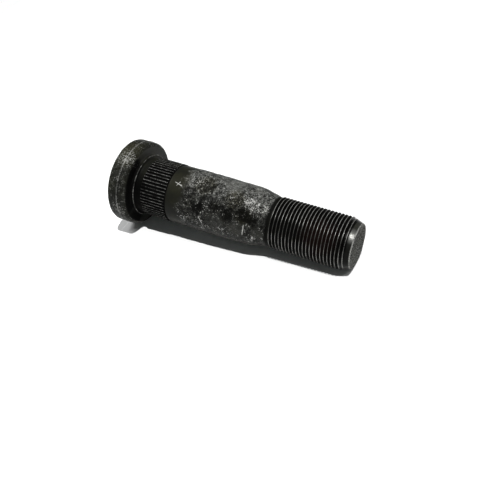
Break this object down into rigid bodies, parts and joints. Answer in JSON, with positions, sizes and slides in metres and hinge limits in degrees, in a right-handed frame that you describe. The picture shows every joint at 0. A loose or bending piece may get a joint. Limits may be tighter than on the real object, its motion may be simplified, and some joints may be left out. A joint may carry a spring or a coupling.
{
  "type": "wheel bolt",
  "caption": "Press-in wheel bolt with a round forged head, low collar, straight knurl, plain shank that tapers down, and a fine-threaded end with a bevelled tip.",
  "frame": {"origin": "centre of the head's outer flat face, on which the bolt stands", "axes": "+Z along the bolt's axis, from the head towards the threaded tip; X and Y are across the bolt, with a knurl tooth on +X"},
  "size_m": [0.0378, 0.0378, 0.1085],
  "materials": {
    "black_steel": "black oxide over forged and turned steel, mottled and pitted, with bright worn edges"
  },
  "bodies": {
    "root": {"bolt": "black_steel"}
  },
  "joints": []
}
